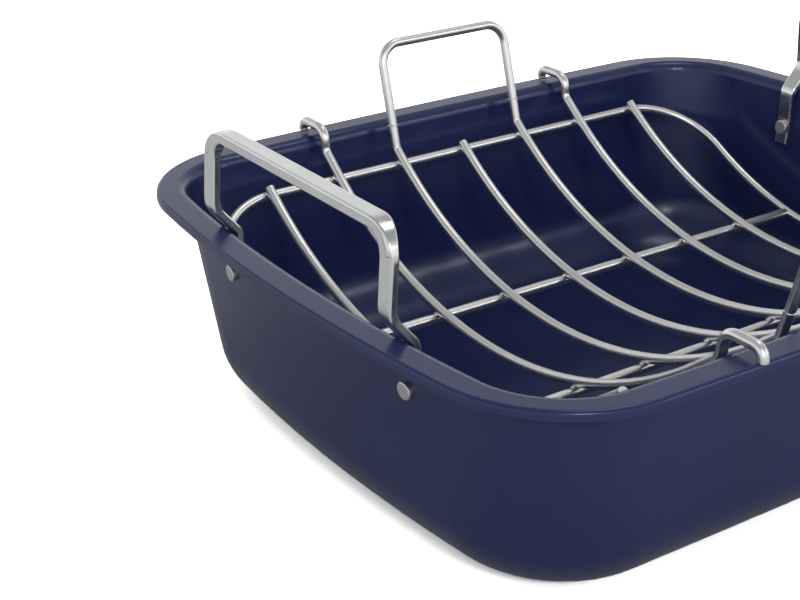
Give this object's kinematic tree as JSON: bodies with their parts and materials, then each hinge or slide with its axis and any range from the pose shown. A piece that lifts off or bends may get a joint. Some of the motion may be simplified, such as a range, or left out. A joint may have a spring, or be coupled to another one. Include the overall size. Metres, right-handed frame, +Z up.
{
  "type": "roasting pan with rack",
  "caption": "Deep rectangular roasting pan with a flat rim and riveted upright end handles, holding a curved lift-out wire rack that hangs on the rim by hooks.",
  "frame": {"origin": "middle of the flat base, on the table", "axes": "+X along the length towards the right end handle, +Y towards the far long side, +Z up"},
  "size_m": [0.398, 0.3332, 0.1539],
  "materials": {
    "pan_coating": "navy non-stick coating, semi-gloss with a fine orange peel",
    "handle_steel": "polished stainless steel, softly tumbled",
    "rivet_steel": "satin stainless steel",
    "rack_wire": "bright plated wire with small resistance welds"
  },
  "bodies": {
    "pan": {"pan_body": "pan_coating", "handle_left": "handle_steel", "handle_right": "handle_steel", "rivet_left_back": "rivet_steel", "rivet_left_front": "rivet_steel", "rivet_right_back": "rivet_steel", "rivet_right_front": "rivet_steel"},
    "rack": {"rack_frame": "rack_wire", "rack_rib_1": "rack_wire", "rack_rib_2": "rack_wire", "rack_rib_3": "rack_wire", "rack_rib_4": "rack_wire", "rack_rib_5": "rack_wire", "rack_rib_6": "rack_wire", "rack_rib_7": "rack_wire", "rack_handle_back": "rack_wire", "rack_handle_front": "rack_wire", "rack_runner_back": "rack_wire", "rack_runner_front": "rack_wire"}
  },
  "joints": [
    {"name": "rack_lift", "type": "slide", "parent": "pan", "child": "rack", "axis": [0, 0, 1], "range_m": [0, 0.14]}
  ]
}
